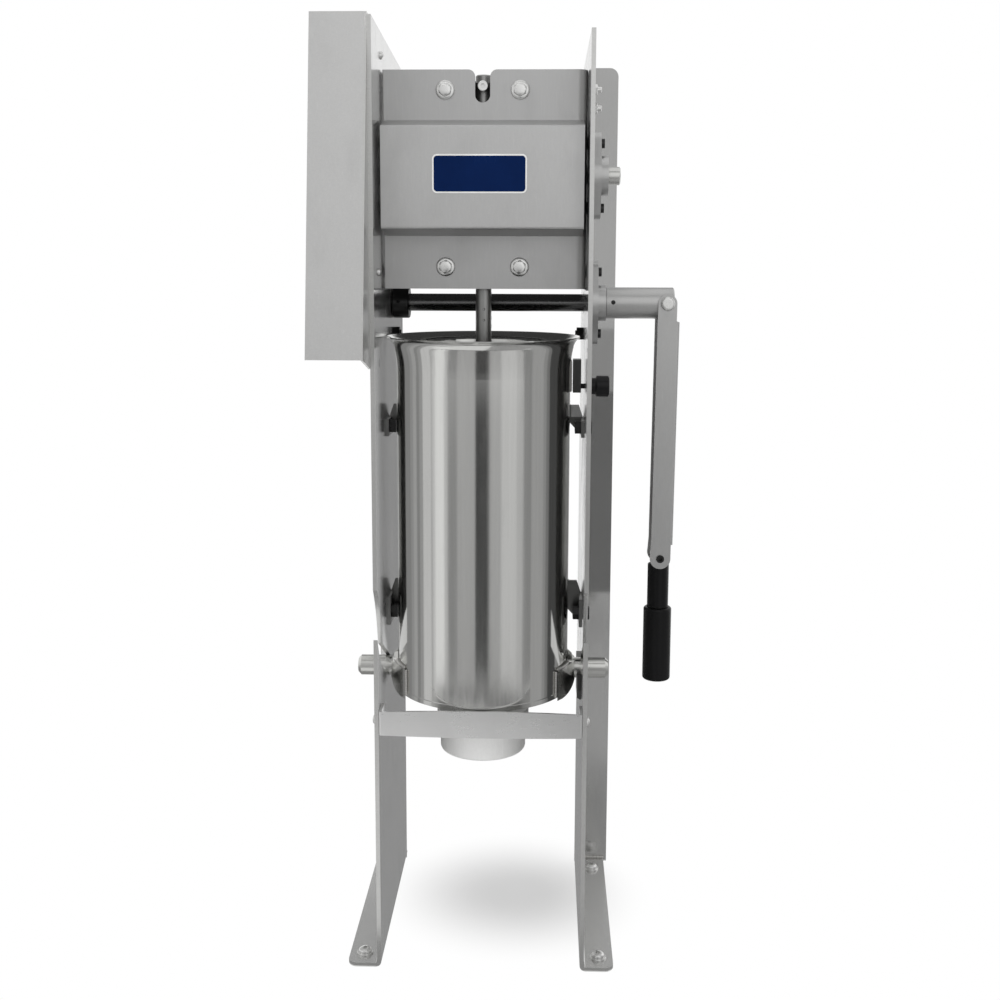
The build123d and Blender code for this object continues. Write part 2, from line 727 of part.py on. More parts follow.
def trunnion(side):
    # Saddle hugging the tank, domed boss and a round pin out through the plate slot.
    low, high = pin_z - 21, pin_z + 13
    corner = side * (saddle_face - 5.5)
    with BuildSketch(Plane.XY.offset(low)) as saddle:
        with BuildLine():
            Line((side * 60, -45), (side * 72, -45))
            ThreePointArc((side * 72, -45), (corner, -22), (side * saddle_face, -8))
            Line((side * saddle_face, -8), (side * saddle_face, 8))
            ThreePointArc((side * saddle_face, 8), (corner, 22), (side * 72, 45))
            Line((side * 72, 45), (side * 60, 45))
            Line((side * 60, 45), (side * 60, -45))
        make_face()
        Circle(tank_r + 0.6, mode=Mode.SUBTRACT)
    extrude(saddle.sketch, amount=high - low)
    with BuildSketch(Plane.XZ.offset(50)) as front_view:
        with BuildLine():
            Line((side * 60, low), (side * 76, low))
            ThreePointArc((side * 76, low), (corner + side * 2, low + 5), (side * saddle_face, low + 18))
            Line((side * saddle_face, low + 18), (side * saddle_face, high - 4))
            Line((side * saddle_face, high - 4), (side * 60, high))
            Line((side * 60, high), (side * 60, low))
        make_face()
    extrude(front_view.sketch, amount=-100, mode=Mode.INTERSECT)
    with BuildSketch(Plane.YZ.offset(side * 84)) as boss:
        with Locations((0, pin_z)):
            Circle(19.5)
    extrude(boss.sketch, amount=side * 5.5, taper=42)
    bar_z(0, 0, tank_r + 0.6, low, pin_z + 25, Mode.SUBTRACT)
    bar_x(0, pin_z, pin_r, side * (saddle_face - 2), side * pin_end)


with BuildPart() as trunnion_left:
    trunnion(-1)
    chamfer(trunnion_left.edges().group_by(Axis.X)[0], 3)
save(trunnion_left, "trunnion_left")

with BuildPart() as trunnion_right:
    trunnion(1)
    chamfer(trunnion_right.edges().group_by(Axis.X)[-1], 3)
save(trunnion_right, "trunnion_right")

# Lock: lug on the tank, spring plunger with a stepped knob through the right plate
with BuildPart() as lock_lug:
    block(80, 95.2, -8, 8, 557.2, 589.3)
    bar_z(0, 0, 87.7, 550, 600, Mode.SUBTRACT)
    bar_x(0, lock_z, 2.6, 80, 96, Mode.SUBTRACT)
save(lock_lug, "lock_lug")

with BuildPart() as lock_plunger:
    bar_x(0, lock_z, 2.45, 89, 104)
    bar_x(0, lock_z, 8.0, right_out + 0.3, 111)
    bar_x(0, lock_z, 10.3, 110, 122.7)
    chamfer(lock_plunger.edges().filter_by(lambda e: e.geom_type == GeomType.CIRCLE and e.radius > 7), 0.8)
save(lock_plunger, "lock_plunger")

# Outlet: flanged neck under the floor and a coupling nut that turns on it
with BuildPart() as outlet_neck:
    bar_z(0, 0, 30, 205, tank_low)
    bar_z(0, 0, 46.3, 226, 237)
    chamfer(outlet_neck.edges().filter_by(lambda e: e.geom_type == GeomType.CIRCLE and e.radius > 46), 1)
    bar_z(0, 0, outlet_r, 200, tank_low + 1, Mode.SUBTRACT)
save(outlet_neck, "outlet_neck")

with BuildPart() as outlet_nut:
    bar_z(0, 0, 43, 193.5, 222)
    chamfer(outlet_nut.edges().group_by(Axis.Z)[-1], 1.2)
    fillet(outlet_nut.edges().group_by(Axis.Z)[0], 4)
    bar_z(0, 0, 30 + fit, 204.5, 223, Mode.SUBTRACT)
    bar_z(0, 0, 20, 190, 206, Mode.SUBTRACT)
save(outlet_nut, "outlet_nut")


def cradle(low, high, tab_low, bolt_z):
    # Band round the back of the tank with a bolted tab on each side plate.
    band_in, band_out, join_y, strap_t = 86.6, 89.1, 18.0, 2.5
    with BuildSketch(Plane.XY.offset(low)) as band:
        Circle(band_out)
        Circle(band_in, mode=Mode.SUBTRACT)
        with Locations((0, join_y - 150)):
            Rectangle(300, 300, mode=Mode.SUBTRACT)
    extrude(band.sketch, amount=high - low)
    for inner, side in ((left_in, -1), (right_in, 1)):
        root = side * 84.5
        tab_high = high - 13
        with BuildSketch(Plane.XZ.offset(-join_y)) as ear:
            with BuildLine():
                Polyline(
                    (root, high),
                    (inner - side * 4.5, high),
                    (inner, tab_high),
                    (inner, tab_low),
                    (inner - side * strap_t, tab_low),
                    (root, low),
                    close=True,
                )
            make_face()
        extrude(ear.sketch, amount=-strap_t)
        block(
            min(inner, inner - side * strap_t),
            max(inner, inner - side * strap_t),
            -8,
            join_y + strap_t,
            tab_low,
            tab_high,
        )
        bar_x(band_bolt_y, bolt_z, 4.3, inner - 4, inner + 4, Mode.SUBTRACT)
        bar_z(0, 0, band_in, low - 40, high + 1, Mode.SUBTRACT)


with BuildPart() as cradle_upper:
    cradle(525.5, 542.5, 513.0, band_bolts_z[0])
save(cradle_upper, "cradle_upper")

with BuildPart() as cradle_lower:
    cradle(334.5, 363.5, 322.0, band_bolts_z[1])
save(cradle_lower, "cradle_lower")

with BuildPart() as cradle_bolts:
    for z in band_bolts_z:
        for inner, side in ((left_in, -1), (right_in, 1)):
            outer = inner + side * sheet
            tab = inner - side * 2.5
            bar_x(band_bolt_y, z, 4.1, tab - side * 6.2, outer + side * 0.1)
            hex_x(band_bolt_y, z, 12, tab, tab - side * 6)
            hex_x(band_bolt_y, z, 12, outer, outer + side * 4)
save(cradle_bolts, "cradle_bolts")

# Front strap between the plates, a little taller in the middle
with BuildPart() as front_strap:
    with BuildSketch(Plane.XZ.offset(90)):
        with BuildLine():
            Line((-94.8, 237.5), (-94.8, 260.5))
            ThreePointArc((-94.8, 260.5), (1.75, 262.3), (98.3, 260.5))
            Line((98.3, 260.5), (98.3, 237.5))
            ThreePointArc((98.3, 237.5), (1.75, 236.2), (-94.8, 237.5))
        make_face()
    extrude(amount=-2.5)
    fillet(front_strap.edges().filter_by(Axis.Z).group_by(Axis.Y)[0], 2.4)
    for inner, side in ((left_in, -1), (right_in, 1)):
        tab = inner - side * 0.2
        block(min(tab, tab - side * 2.5), max(tab, tab - side * 2.5), -88, -64, 237.5, 260.5)
        bar_x(*strap_bolt, 2.8, inner - 4, inner + 4, Mode.SUBTRACT)
save(front_strap, "front_strap")

# Small screws through the plates: strap, panel and case
with BuildPart() as plate_screws:
    for inner, side in ((left_in, -1), (right_in, 1)):
        outer = inner + side * sheet
        bar_x(*strap_bolt, 4.3, outer, outer + side * 3)
        bar_x(*strap_bolt, 2.6, inner - side * 5, outer + side * 0.1)
        if side > 0:
            for z in panel_screws_z:
                bar_x(panel_screw_y, z, 4.6, outer, outer + side * 3.6)
                bar_x(panel_screw_y, z, 2.6, inner - side * 5, outer + side * 0.1)
    bar_x(*case_screw, 3.5, left_in, left_in + 2)
    bar_x(*case_screw, 2.0, left_out, left_in + 0.1)
save(plate_screws, "plate_screws")

with BuildPart() as foot_bolts:
    for outer, side in ((left_out, -1), (right_out, 1)):
        for y in foot_bolts_y:
            x = outer + side * foot_reach / 2
            bar_z(x, y, 8.0, sheet, sheet + 1.6)
            bar_z(x, y, 4.0, 0.3, sheet + 1.7)
            bar_z(x, y, 6.6, sheet + 1.5, sheet + 5.2)
    fillet(foot_bolts.faces().group_by(Axis.Z)[-1].edges(), 2.6)
save(foot_bolts, "foot_bolts")
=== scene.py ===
import math

import bmesh
import bpy
from mathutils import Euler, Matrix, Vector


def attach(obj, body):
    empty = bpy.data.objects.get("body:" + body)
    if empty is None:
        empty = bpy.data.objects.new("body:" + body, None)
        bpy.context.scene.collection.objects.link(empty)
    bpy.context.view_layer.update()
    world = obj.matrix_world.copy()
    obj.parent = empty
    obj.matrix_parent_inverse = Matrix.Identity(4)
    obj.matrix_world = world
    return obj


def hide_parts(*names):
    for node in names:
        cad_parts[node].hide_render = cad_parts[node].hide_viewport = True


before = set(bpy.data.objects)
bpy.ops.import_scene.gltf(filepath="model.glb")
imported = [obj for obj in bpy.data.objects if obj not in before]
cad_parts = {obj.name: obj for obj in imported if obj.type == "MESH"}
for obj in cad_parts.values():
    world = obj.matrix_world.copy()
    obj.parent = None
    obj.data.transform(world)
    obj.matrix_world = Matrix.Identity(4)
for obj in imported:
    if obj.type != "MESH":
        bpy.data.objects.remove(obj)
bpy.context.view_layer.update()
print("frame loaded,", len(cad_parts), "nodes")

tankAxis = {"x": -24.0, "y": -6.5}  # where the tank stands in the frame, mm


def at(x, y, z):  # millimetres from the tank axis at bench level
    return Vector((x + tankAxis["x"], y + tankAxis["y"], z)) / 1000


toFront, toLeft, toRight, toTop = (0, -1, 0), (-1, 0, 0), (1, 0, 0), (0, 0, 1)

# camera: where the photograph was taken from
cameraSetup = {
    "place": (60.1, -1232.1, 680.9),
    "tip": 81.65,
    "turn": 2.03,
    "roll": 0.18,
    "lens": 45.47,
    "sensor": 36,
    "shiftY": -0.0508,
    "near": 0.05,
    "far": 60,
}
lensData = bpy.data.cameras.new("stillCamera")
lensData.sensor_width = cameraSetup["sensor"]
lensData.lens = cameraSetup["lens"]
lensData.shift_y = cameraSetup["shiftY"]
lensData.clip_start = cameraSetup["near"]
lensData.clip_end = cameraSetup["far"]
stillCamera = bpy.data.objects.new("stillCamera", lensData)
bpy.context.scene.collection.objects.link(stillCamera)
aim = Euler((math.radians(cameraSetup["tip"]), 0, math.radians(cameraSetup["turn"]))).to_matrix()
aim = aim @ Matrix.Rotation(math.radians(cameraSetup["roll"]), 3, "Z")
stillCamera.matrix_world = Matrix.Translation(at(*cameraSetup["place"])) @ aim.to_4x4()
bpy.context.scene.camera = stillCamera
bpy.context.scene.view_settings.view_transform = "Standard"
print("camera placed")


class Wire:  # a node socket that takes plain arithmetic
    def __init__(self, tree, socket):
        self.tree = tree
        self.socket = socket

    def math(self, operation, first, second):
        step = self.tree.nodes.new("ShaderNodeMath")
        step.operation = operation
        for slot, value in zip(step.inputs, (first, second)):
            if isinstance(value, Wire):
                self.tree.links.new(value.socket, slot)
            else:
                slot.default_value = value
        return Wire(self.tree, step.outputs[0])

    def __add__(self, other):
        return self.math("ADD", self, other)

    def __sub__(self, other):
        return self.math("SUBTRACT", self, other)

    def __rsub__(self, other):
        return self.math("SUBTRACT", other, self)

    def __mul__(self, other):
        return self.math("MULTIPLY", self, other)

    def __gt__(self, other):
        return self.math("GREATER_THAN", self, other)

    __radd__ = __add__
    __rmul__ = __mul__


class Bench:  # a node tree and the one way its nodes are made
    def __init__(self, tree):
        self.tree = tree
        self.tree.nodes.clear()

    def node(self, kind, settings=None, sockets=None, output=0):
        made = self.tree.nodes.new("ShaderNode" + kind)
        for key, value in (settings or {}).items():
            if key == "stops":
                while len(made.color_ramp.elements) < len(value):
                    made.color_ramp.elements.new(0.5)
                for stop, (place, colour) in zip(made.color_ramp.elements, value):
                    stop.position = place
                    stop.color = colour
            else:
                setattr(made, key, value)
        for key, value in (sockets or {}).items():
            if isinstance(value, Wire):
                self.tree.links.new(value.socket, made.inputs[key])
            else:
                made.inputs[key].default_value = value
        return Wire(self.tree, made.outputs[output]) if len(made.outputs) else made


class Finish(Bench):  # one material being mixed
    def __init__(self, name):
        self.material = bpy.data.materials.new(name)
        self.material.use_nodes = True
        super().__init__(self.material.node_tree)
        self.spot = self.node("TexCoord", output="Object")

    def along(self, axis):  # x, y or z on the piece, as 0, 1 or 2
        return self.node("SeparateXYZ", None, {0: self.spot}, axis)

    def noise(self, stretch, scale, detail=2.0, roughness=0.5):
        place = self.node("VectorMath", {"operation": "MULTIPLY"}, {0: self.spot, 1: stretch})
        sockets = {"Vector": place, "Scale": scale, "Detail": detail, "Roughness": roughness}
        return self.node("TexNoise", None, sockets)

    def ramp(self, value, stops):  # positions with plain levels
        colours = [(place, (level, level, level, 1)) for place, level in stops]
        return self.node("ValToRGB", {"stops": colours}, {"Fac": value})

    def mask(self, value, start, full):  # 0 up to start, 1 from full on
        return self.ramp(value, [(0.0, 0), (start, 0), (full, 1)])

    def blend(self, factor, first, second):  # two colours
        return self.node("Mix", {"data_type": "RGBA"}, {0: factor, 6: first, 7: second}, 2)

    def bump(self, look, height):
        return self.node("Bump", None, {"Strength": look["bump"], "Distance": look["depth"], "Height": height})

    def end(self, shader):
        self.node("OutputMaterial", None, {"Surface": shader})
        return self.material


def tint(tone, factor):
    return (tone[0] * factor, tone[1] * factor, tone[2] * factor, 1)


plainSheet = {  # what a sheet look says unless it says something else
    "grainScale": 520, "cloudScale": 11, "speckScale": 1300, "hair": (1, 1, 0.04), "hairScale": 900, "smearScale": 34,
    "toneSpread": 0.16, "hairMark": 0.12, "hairTone": 1.35, "smearMark": 0.1, "smearTone": 0.7,
    "grainRough": 0.16, "cloudRough": 0.14, "smearRough": 0.07, "edgeRough": 0.14,
    "metal": 1.0, "bump": 0.06, "depth": 0.0004,
}


def sheetSteel(name, look):  # rolled stainless sheet: grain, cloudy rub, hairline scratches
    look = plainSheet | look
    mix = Finish(name)
    tone, spread = look["tone"], look["toneSpread"]
    grain = mix.noise(look["grain"], look["grainScale"], 3, 0.65)
    cloud = mix.noise((1, 1, 1), look["cloudScale"], 4, 0.55)
    speck = mix.noise((1, 1, 1), look["speckScale"], 2, 0.7)
    hair = mix.mask(mix.noise(look["hair"], look["hairScale"], 2, 0.5), 0.64, 0.7)
    smear = mix.mask(mix.noise((1, 1, 0.5), look["smearScale"], 5, 0.62), 0.5, 0.72)
    shade = grain * 0.35 + cloud * 0.3 + speck * 0.35
    colour = mix.blend(shade, tint(tone, 1 - spread), tint(tone, 1 + spread))
    colour = mix.blend(hair * look["hairMark"], colour, tint(tone, look["hairTone"]))
    colour = mix.blend(smear * look["smearMark"], colour, tint(tone, look["smearTone"]))
    uneven = (grain - 0.5) * look["grainRough"] + (cloud - 0.5) * look["cloudRough"]
    rough = uneven + smear * look["smearRough"] + look["rough"]
    if "cutEdgeSheen" in look:  # the sheet's sawn front edge is duller and paler: partly its own sawn finish, partly a painted highlight where the edge catches light
        edge = (mix.along(1) * -1) > look["cutEdgeSheen"]
        saw = mix.noise((1, 1, 6), 300, 3, 0.6)
        # painted highlight mixed with the sawn finish: a paler colour on the front edge strip
        pale = mix.blend(saw, tint(look["edgeSheenTone"], 0.85), tint(look["edgeSheenTone"], 1.15))
        colour = mix.blend(edge, colour, pale)
        rough = rough + edge * look["edgeRough"]
    metal = look["metal"]
    if "paintedLitEar" in look:  # painted light: the right ear's front is painted pale and made dull and non-metallic so it looks lit
        ear = look["paintedLitEar"]
        x, y, z = [mix.along(axis) for axis in range(3)]
        face = (x > ear["right"]) * ((y * -1) > ear["front"]) * (z > ear["high"])
        # painted light: a pale speckled colour on the ear's front stands in for light falling on it
        paintedEarLight = mix.blend(speck, tint(ear["tone"], 0.9), tint(ear["tone"], 1.1))
        colour = mix.blend(face, colour, paintedEarLight)
        metal = face * (ear["metal"] - metal) + metal
    bump = mix.bump(look, grain + speck * 0.6 - hair * 0.5)
    sockets = {"Base Color": colour, "Metallic": metal, "Roughness": rough, "Normal": bump}
    return mix.end(mix.node("BsdfPrincipled", None, sockets))


plainDrawn = {
    "grainScale": 60, "fineScale": 420, "wave": (1, 1, 0.15), "waveScale": 20, "scuffScale": 70,
    "toneSpread": 0.12, "scuffMark": 0.12, "scuffTone": 0.75,
    "roughSpread": 0.1, "fineRough": 0.08, "scuffRough": 0.05,
    "streakBump": 0.10, "fineBump": 0.03, "bump": 0.1, "depth": 0.001,
}


def drawnSteel(name, look):  # bright drawn or spun metal: fine streaks and shallow waves
    look = plainDrawn | look
    mix = Finish(name)
    tone, spread = look["tone"], look["toneSpread"]
    streak = mix.noise(look["grain"], look["grainScale"], 3, 0.6)
    fine = mix.noise(look["grain"], look["fineScale"], 3, 0.6)
    wave = mix.noise(look["wave"], look["waveScale"], 2, 0.5)
    scuff = mix.mask(mix.noise((1, 1, 0.3), look["scuffScale"], 6, 0.7), 0.48, 0.75)
    colour = mix.blend(streak * 0.5 + fine * 0.5, tint(tone, 1 - spread), tint(tone, 1 + spread))
    colour = mix.blend(scuff * look["scuffMark"], colour, tint(tone, look["scuffTone"]))
    uneven = (streak - 0.5) * look["roughSpread"] + (fine - 0.5) * look["fineRough"]
    rough = uneven + scuff * look["scuffRough"] + look["rough"]
    bump = mix.bump(look, wave + streak * look["streakBump"] + fine * look["fineBump"])
    sockets = {"Base Color": colour, "Metallic": 1.0, "Roughness": rough, "Normal": bump}
    return mix.end(mix.node("BsdfPrincipled", None, sockets))


plainPlastic = {
    "grainScale": 900, "rubScale": 38, "nickScale": 160, "rubTones": (0.75, 1.3), "nickMark": 0.3, "wear": 2.2,
    "rubRough": 0.18, "pebbleRough": 0.08, "specular": 0.5, "nickBump": 0.4, "bump": 0.15, "depth": 0.0003,
}


def mouldedPlastic(name, look):  # fine pebble, rubbed patches, small nicks
    look = plainPlastic | look
    mix = Finish(name)
    tone, (dark, light) = look["tone"], look["rubTones"]
    pebble = mix.noise((1, 1, 1), look["grainScale"], 3, 0.6)
    rub = mix.noise((1, 1, 0.6), look["rubScale"], 5, 0.6)
    nick = mix.mask(mix.noise((1, 1, 1), look["nickScale"], 4, 0.7), 0.62, 0.72)
    colour = mix.blend(rub, tint(tone, dark), tint(tone, light))
    colour = mix.blend(nick * look["nickMark"], colour, tint(tone, look["wear"]))
    bump = mix.bump(look, pebble + nick * look["nickBump"])
    rough = (rub - 0.5) * look["rubRough"] + (pebble - 0.5) * look["pebbleRough"] + look["rough"]
    sockets = {"Base Color": colour, "Specular IOR Level": look["specular"], "Roughness": rough, "Normal": bump}
    return mix.end(mix.node("BsdfPrincipled", None, sockets))


sheetLooks = {
    "plateSteel": {
        "tone": (0.63, 0.63, 0.622), "rough": 0.17, "grain": (1, 1, 0.06), "metal": 0.9, "toneSpread": 0.09,
        # the cut-edge entries paint the sawn front edge paler: partly its own finish, partly a painted highlight
        "hairMark": 0.05, "cutEdgeSheen": 0.0937, "edgeSheenTone": (0.58, 0.58, 0.57),
    },
    "coverSteel": {"tone": (0.62, 0.62, 0.615), "rough": 0.44, "grain": (1, 1, 1), "toneSpread": 0.2},
    "panelSteel": {"tone": (0.48, 0.48, 0.478), "rough": 0.40, "grain": (1, 1, 0.1)},
    "hatSteel": {"tone": (0.535, 0.535, 0.532), "rough": 0.42, "grain": (1, 1, 0.2), "toneSpread": 0.18},
    "strapSteel": {
        "tone": (0.73, 0.73, 0.725), "rough": 0.3, "grain": (0.15, 1, 1), "hair": (0.04, 1, 1),
        "toneSpread": 0.06, "hairMark": 0.04, "bump": 0.015,
    },
    "bandSteel": {
        "tone": (0.25, 0.25, 0.245), "rough": 0.34, "grain": (1, 1, 1),
        # the ear entry paints light: a pale, non-metallic patch on the right ear's front
        "paintedLitEar": {"right": 0.0625, "front": -0.0121, "high": 0.5305, "tone": (0.9, 0.9, 0.895), "metal": 0.0},
    },
    "machinedSteel": {"tone": (0.52, 0.52, 0.515), "rough": 0.34, "grain": (0.3, 1, 1)},
    "blackShaft": {"tone": (0.17, 0.17, 0.17), "rough": 0.26, "grain": (0.1, 1, 1)},
    "blackenedSteel": {"tone": (0.045, 0.045, 0.045), "rough": 0.34, "grain": (1, 1, 1)},
    "castGear": {"tone": (0.2, 0.2, 0.2), "rough": 0.45, "grain": (1, 1, 1), "bump": 0.2},
    "armSteel": {"tone": (0.51, 0.51, 0.505), "rough": 0.38, "grain": (1, 1, 0.2)},
    "nutSteel": {"tone": (0.9, 0.9, 0.89), "rough": 0.44, "grain": (1, 1, 0.4), "metal": 0.05},
    # dark tone: partly the pad's and lug's own dark finish, partly painted shade where they sit in shadow
    "darkPadAndShade": {"tone": (0.10, 0.10, 0.098), "rough": 0.34, "grain": (1, 1, 1)},
    "barSteel": {"tone": (0.33, 0.33, 0.325), "rough": 0.32, "grain": (1, 1, 0.1)},
    "weldSteel": {"tone": (0.6, 0.59, 0.57), "rough": 0.3, "grain": (1, 1, 1), "bump": 0.25},
}
drawnLooks = {
    "tankSteel": {"tone": (0.62, 0.62, 0.605), "rough": 0.12, "grain": (1, 1, 0.015), "wave": (1, 1, 0.12)},
    "brightZinc": {
        "tone": (0.76, 0.76, 0.75), "rough": 0.28, "grain": (1, 1, 1),
        "toneSpread": 0.05, "bump": 0.03, "roughSpread": 0.05,
    },
    "pinSteel": {"tone": (0.62, 0.62, 0.60), "rough": 0.22, "grain": (0.1, 1, 1)},
}
plasticLooks = {
    "blackPlastic": {"tone": (0.005, 0.005, 0.0055), "rough": 0.34, "specular": 0.18},
    "knobPlastic": {"tone": (0.006, 0.006, 0.007), "rough": 0.3, "specular": 0.22},
    "whiteAcetal": {"tone": (0.7, 0.7, 0.68), "rough": 0.4, "wear": 0.8},
    "sealRubber": {"tone": (0.015, 0.015, 0.015), "rough": 0.6},
    "paleCap": {"tone": (0.5, 0.5, 0.48), "rough": 0.45, "wear": 0.7},
    "navyEnamel": {
        "tone": (0.0012, 0.0125, 0.068), "rough": 0.24, "specular": 0.05,
        "grainScale": 400, "bump": 0.04, "wear": 1.5,
    },
    "whiteEnamel": {"tone": (0.8, 0.8, 0.79), "rough": 0.25, "grainScale": 400, "bump": 0.04, "wear": 0.9},
    # painted shade: near-black stands in for the shade in the collar screw's socket, the bar's dimples and the
    # plate's spare hole
    "paintedShadeBlack": {"tone": (0.006, 0.006, 0.006), "rough": 0.7},
}
finishes = {name: sheetSteel(name, look) for name, look in sheetLooks.items()}
finishes.update({name: drawnSteel(name, look) for name, look in drawnLooks.items()})
finishes.update({name: mouldedPlastic(name, look) for name, look in plasticLooks.items()})
print("finishes mixed,", len(finishes))

nodeFinish = {
    "side_plate_left": "plateSteel",
    "side_plate_right": "plateSteel",
    "pivot_pad": "darkPadAndShade",
    "case_plate": "plateSteel",
    "gear_cover": "coverSteel",
    "front_panel": "panelSteel",
    "hat_cover": "hatSteel",
    "guide_upper": "barSteel",
    "guide_lower": "barSteel",
    "panel_bolts": "brightZinc",
    "bearing_upper_right": "machinedSteel",
    "bearing_lower_right": "machinedSteel",
    "bearing_upper_left": "machinedSteel",
    "bearing_lower_left": "machinedSteel",
    "bearing_bolts_right": "blackenedSteel",
    "bearing_bolts_left": "blackenedSteel",
    "cradle_upper": "bandSteel",
    "cradle_lower": "bandSteel",
    "cradle_bolts": "blackenedSteel",
    "front_strap": "strapSteel",
    "plate_screws": "brightZinc",
    "foot_bolts": "brightZinc",
    "tank": "tankSteel",
    "trunnion_left": "pinSteel",
    "trunnion_right": "pinSteel",
    "lock_lug": "darkPadAndShade",
    "outlet_neck": "machinedSteel",
    "outlet_nut": "nutSteel",
    "upper_shaft": "pinSteel",
    "rack_pinion": "castGear",
    "drive_gear": "castGear",
    "lower_shaft": "blackShaft",
    "case_pinion": "castGear",
    "shaft_collar": "blackenedSteel",
    "crank_hub": "armSteel",
    "crank_arm": "armSteel",
    "crank_bolt": "brightZinc",
    "grip_pin": "blackenedSteel",
    "rack_rod": "barSteel",
    "stop_screw": "brightZinc",
    "piston": "whiteAcetal",
    "piston_seal": "sealRubber",
    "grip_eye": "machinedSteel",
    "grip_collar": "blackPlastic",
    "grip_sleeve": "blackPlastic",
    "grip_cap": "paleCap",
    "lock_plunger": "knobPlastic",
}
for node, finish in nodeFinish.items():
    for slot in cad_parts[node].material_slots:
        slot.material = finishes[finish]
print("finishes on the frame's nodes")


def skin(bm, rings):  # faces between neighbouring rings, both ends closed
    count = len(rings[0])
    for low, high in zip(rings, rings[1:]):
        for step in range(count):
            following = (step + 1) % count
            bm.faces.new((low[step], low[following], high[following], high[step]))
    bm.faces.new(list(reversed(rings[0])))
    bm.faces.new(rings[-1])


def hexReach(half, turn=0.0, limit=None):  # half across flats; the limit takes the corners off
    sixth = math.pi / 3

    def reach(angle):
        side = half / math.cos(((angle + turn) % sixth) - sixth / 2)
        return min(side, limit) if limit else side

    return reach


def turned(bm, profile, place, direction, sides, socket=None):
    # rings of (radius, height) in mm about a line; socket is (half across flats, depth)
    axis = Vector(direction).normalized()
    across = axis.orthogonal().normalized()
    over = axis.cross(across)
    base = at(*place)

    def ring(radius, height):
        loop = []
        for step in range(sides):
            angle = 2 * math.pi * step / sides
            reach = radius(angle) if callable(radius) else radius
            spoke = across * math.cos(angle) + over * math.sin(angle)
            loop.append(bm.verts.new(base + spoke * reach / 1000 + axis * height / 1000))
        return loop

    rings = [ring(radius, height) for radius, height in profile]
    if socket:
        half, depth = socket
        top = profile[-1][1]
        rings += [ring(hexReach(half), top), ring(hexReach(half), top - depth)]
    skin(bm, rings)


def turnedRow(bm, part):  # every profile of a part at each of its places
    for place in part["places"]:
        for profile, sides, socket in part["profiles"]:
            turned(bm, profile, place, part["facing"], sides, socket)


def asPiece(name, bm, finish, body, sharp=35):
    bmesh.ops.recalc_face_normals(bm, faces=bm.faces)
    mesh = bpy.data.meshes.new(name)
    bm.to_mesh(mesh)
    bm.free()
    for face in mesh.polygons:
        face.use_smooth = True
    mesh.set_sharp_from_angle(angle=math.radians(sharp))
    mesh.materials.append(finishes[finish])
    piece = bpy.data.objects.new(name, mesh)
    bpy.context.scene.collection.objects.link(piece)
    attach(piece, body)
    return piece


# blank plate on the hat cover: pale rim, plain navy field
blankPlate = {
    "middle": (-0.9, 762.0), "width": 86.6, "height": 35.0, "corner": 4.5, "cornerSteps": 8, "face": -60.0,
    "rim": 1.5, "rimRise": 0.7, "fieldBack": 0.6, "fieldRise": 0.95, "softEdge": 0.0002,
}


def roundedField(name, inset, front, back, finish):
    bm = bmesh.new()
    midX, midZ = blankPlate["middle"]
    halfX = blankPlate["width"] / 2 - inset
    halfZ = blankPlate["height"] / 2 - inset
    corner = blankPlate["corner"] - inset
    steps = blankPlate["cornerSteps"]
    outline = []
    for turn, (signX, signZ) in enumerate(((1, 1), (-1, 1), (-1, -1), (1, -1))):
        for step in range(steps + 1):
            angle = math.radians(90 * turn + 90 * step / steps)
            x = midX + signX * (halfX - corner) + corner * math.cos(angle)
            z = midZ + signZ * (halfZ - corner) + corner * math.sin(angle)
            outline.append(bm.verts.new(at(x, back, z)))
    base = bm.faces.new(outline)
    raised = bmesh.ops.extrude_face_region(bm, geom=[base])
    for vert in [v for v in raised["geom"] if isinstance(v, bmesh.types.BMVert)]:
        vert.co.y += (front - back) / 1000
    piece = asPiece(name, bm, finish, "frame")
    soft = piece.modifiers.new("softEdge", "BEVEL")
    soft.width = blankPlate["softEdge"]
    soft.segments = 3
    soft.limit_method = "ANGLE"


face = blankPlate["face"]
roundedField("plateRim", 0.0, face - blankPlate["rimRise"], face, "whiteEnamel")
fieldFront, fieldBack = face - blankPlate["fieldRise"], face - blankPlate["fieldBack"]
roundedField("plateField", blankPlate["rim"], fieldFront, fieldBack, "navyEnamel")
print("blank plate on the hat cover")


# flanged bolts on the panel: domed hexagon on a round flange
panelBolt = {
    "x": 35.0, "heights": (841.0, 678.0), "face": -22.0, "flange": 8.9, "half": 5.6,
    "turn": 20, "cornerLimit": 1.115, "sides": 48,
    "flangeRings": [(0, 0.02), (0, 0.9), (0.5, 1.5), (1.6, 2.1), (2.6, 2.3)],  # cut from the radius, height
    "sideRings": [(0.3, 2.1), (0, 2.6), (0, 5.5)],  # added to the half, height
    "domeRings": [(0.97, 6.1), (0.8, 6.5), (0.45, 6.75), (0.1, 6.8)],  # share of the half, height
}


def boltSide(half):
    return hexReach(half, math.radians(panelBolt["turn"]), half * panelBolt["cornerLimit"])


flange = [(panelBolt["flange"] - cut, height) for cut, height in panelBolt["flangeRings"]]
head = [(boltSide(panelBolt["half"] + more), height) for more, height in panelBolt["sideRings"]]
head += [(panelBolt["half"] * share, height) for share, height in panelBolt["domeRings"]]
panelRow = {
    "places": [(x, panelBolt["face"], z) for x in (-panelBolt["x"], panelBolt["x"]) for z in panelBolt["heights"]],
    "facing": toFront,
    "profiles": [(flange, panelBolt["sides"], None), (head, panelBolt["sides"], None)],
}
bm = bmesh.new()
turnedRow(bm, panelRow)
boltHeads = asPiece("panelBoltHeads", bm, "brightZinc", "frame", 30)
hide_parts("panel_bolts")

